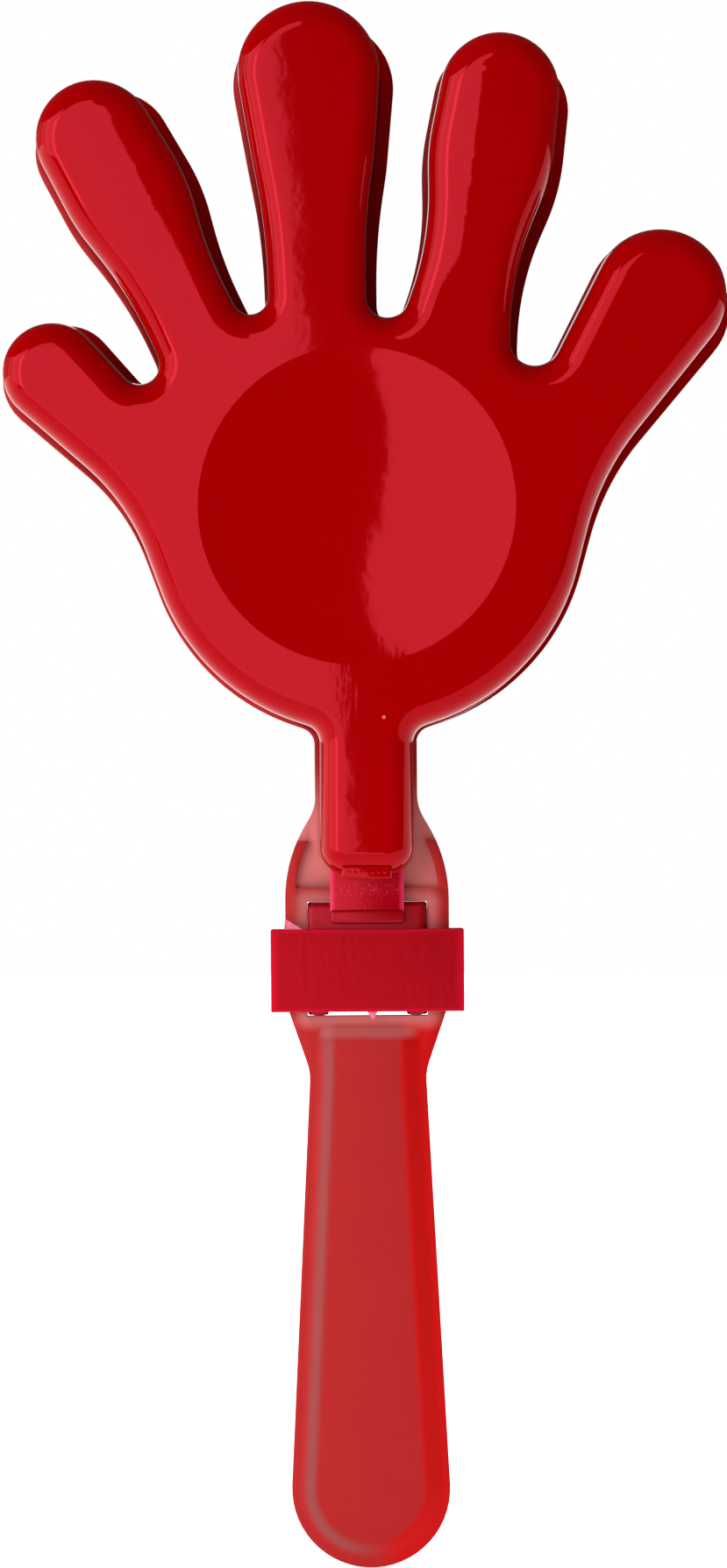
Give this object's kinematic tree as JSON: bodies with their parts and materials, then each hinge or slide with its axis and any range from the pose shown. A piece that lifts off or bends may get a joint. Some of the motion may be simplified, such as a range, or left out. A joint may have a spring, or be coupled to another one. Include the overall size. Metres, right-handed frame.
{
  "type": "hand clapper",
  "caption": "Hand-shaped noise maker: a grip with a fixed centre hand, and a hollow hand on a flexing strap on each side that claps against it when shaken.",
  "frame": {"origin": "middle of the grip, where a hand holds it, on the middle plane of the handle", "axes": "+Z along the handle towards the fingertips, -Y towards the front hand, +X to the right seen from the front"},
  "size_m": [0.1305, 0.0406, 0.2781],
  "materials": {
    "handle_plastic": "satin moulded",
    "collar_plastic": "satin, fine drag lines",
    "hand_plastic": "high gloss moulded",
    "strap_plastic": "thin, slightly translucent"
  },
  "bodies": {
    "handle": {"handle": "handle_plastic", "collar": "collar_plastic", "front_anchor": "hand_plastic", "rear_anchor": "hand_plastic", "front_hinge_strap": "strap_plastic", "rear_hinge_strap": "strap_plastic"},
    "front_hand": {"front_hand": "hand_plastic"},
    "rear_hand": {"rear_hand": "hand_plastic"}
  },
  "joints": [
    {"name": "front_hand_swing", "type": "hinge", "parent": "handle", "child": "front_hand", "pos_m": [0, -0.0049, 0.072], "axis": [1, 0, 0], "range_deg": [-5.5, 85], "stiffness_Nm_per_rad": 0.12, "deforming": ["front_hinge_strap"]},
    {"name": "rear_hand_swing", "type": "hinge", "parent": "handle", "child": "rear_hand", "pos_m": [0, 0.0049, 0.072], "axis": [-1, 0, 0], "range_deg": [-2, 85], "stiffness_Nm_per_rad": 0.12, "deforming": ["rear_hinge_strap"]}
  ]
}
